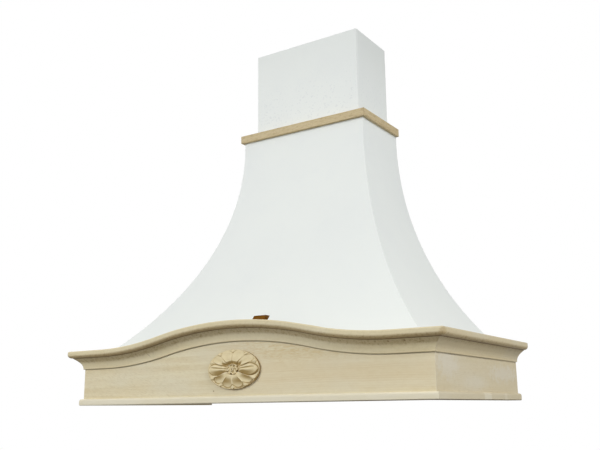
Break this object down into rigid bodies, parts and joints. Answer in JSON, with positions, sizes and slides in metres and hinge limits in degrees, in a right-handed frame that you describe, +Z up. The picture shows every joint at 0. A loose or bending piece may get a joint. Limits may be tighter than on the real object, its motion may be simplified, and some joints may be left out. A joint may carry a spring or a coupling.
{
  "type": "range hood cover",
  "caption": "Wall-hung wooden range hood cover: arched frieze with carved rosette, cove crown, white flared dome, banded neck and a chimney box that slides up.",
  "frame": {"origin": "middle of the outline at the bottom rim, on the surface that the rim would stand on", "axes": "+Z up the chimney, +Y towards the wall, +X to the right seen from the front"},
  "size_m": [0.96, 0.48, 0.925],
  "materials": {
    "bare_wood": "sanded, unfinished pale hardwood",
    "white_paint": "matt white paint over bent board, bare inside",
    "birch_ply": "sanded birch plywood",
    "softwood": "planed softwood",
    "stained_wood": "brown wood stain",
    "zinc_steel": "zinc plated"
  },
  "bodies": {
    "cover": {"apron_front": "bare_wood", "apron_left": "bare_wood", "apron_right": "bare_wood", "bead_front": "bare_wood", "bead_left": "bare_wood", "bead_right": "bare_wood", "crown_front": "bare_wood", "crown_left": "bare_wood", "crown_right": "bare_wood", "rosette": "bare_wood", "band_front": "bare_wood", "band_left": "bare_wood", "band_right": "bare_wood", "dome_front": "white_paint", "dome_left": "white_paint", "dome_right": "white_paint", "ledge_front": "birch_ply", "ledge_left": "birch_ply", "ledge_right": "birch_ply", "front_rib_left": "birch_ply", "front_rib_right": "birch_ply", "back_rib_left": "birch_ply", "back_rib_right": "birch_ply", "insert_panel": "birch_ply", "cross_rail": "birch_ply", "hanging_rail": "birch_ply", "ledge_strip_front": "softwood", "ledge_strip_left": "softwood", "ledge_strip_right": "softwood", "collar_front": "softwood", "collar_left": "softwood", "collar_right": "softwood", "chimney_rest_rail": "softwood", "chimney_rest_block_left": "softwood", "chimney_rest_block_right": "softwood", "back_rail": "softwood", "insert_strip_front": "softwood", "insert_strip_back": "softwood", "insert_strip_left": "softwood", "insert_strip_right": "softwood", "corner_blocks": "softwood", "stay_block": "stained_wood", "insert_screws": "zinc_steel", "rib_foot_screws": "zinc_steel", "cross_rail_screws": "zinc_steel", "chimney_rest_screws": "zinc_steel"},
    "chimney": {"chimney_front": "white_paint", "chimney_left": "white_paint", "chimney_right": "white_paint", "chimney_batten_left": "softwood", "chimney_batten_right": "softwood", "chimney_strap_lower": "softwood", "chimney_strap_upper": "softwood"},
    "cleat": {"wall_cleat": "birch_ply"}
  },
  "joints": [
    {"name": "chimney_slide", "type": "slide", "parent": "cover", "child": "chimney", "axis": [0, 0, 1], "range_m": [0, 0.2]},
    {"name": "cleat_lift", "type": "slide", "parent": "cover", "child": "cleat", "axis": [0, 0, -1], "range_m": [0, 0.02]}
  ]
}
